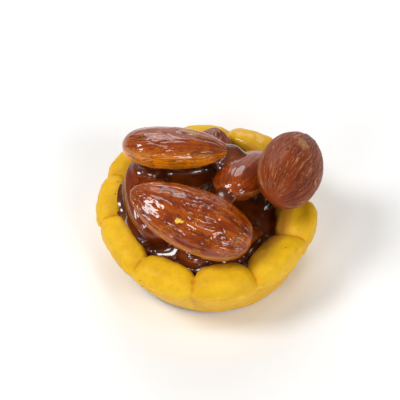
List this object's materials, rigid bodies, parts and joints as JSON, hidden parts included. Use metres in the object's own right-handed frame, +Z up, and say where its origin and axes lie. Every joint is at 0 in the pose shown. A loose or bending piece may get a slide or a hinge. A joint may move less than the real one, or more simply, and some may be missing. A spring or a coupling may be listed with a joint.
{
  "type": "almond tart",
  "caption": "Small round almond tart: a thick shortcrust shell with a pinched lobed rim, filled with dark caramel and heaped with whole honey-glazed almonds.",
  "frame": {"origin": "on the flat underside, below the middle of the rim", "axes": "+Z up, +Y away from the side the tart is seen from, +X to the right"},
  "size_m": [0.0418, 0.0404, 0.024],
  "materials": {
    "shell": "matt baked shortcrust, fine grained, golden yellow and browner at the edges",
    "caramel": "glossy, dark and clear, set",
    "almonds": "roasted brown almond skin with lengthwise grooves, under a wet-looking honey glaze",
    "dry_almond": "roasted brown almond skin with fine lengthwise grooves, hardly glazed, satin"
  },
  "bodies": {
    "root": {"shell": "shell", "caramel": "caramel", "almond_front": "almonds", "almond_top": "almonds", "almond_right": "dry_almond", "almond_middle": "almonds", "almond_left": "almonds", "almond_low": "almonds", "almond_back": "almonds"}
  },
  "joints": []
}
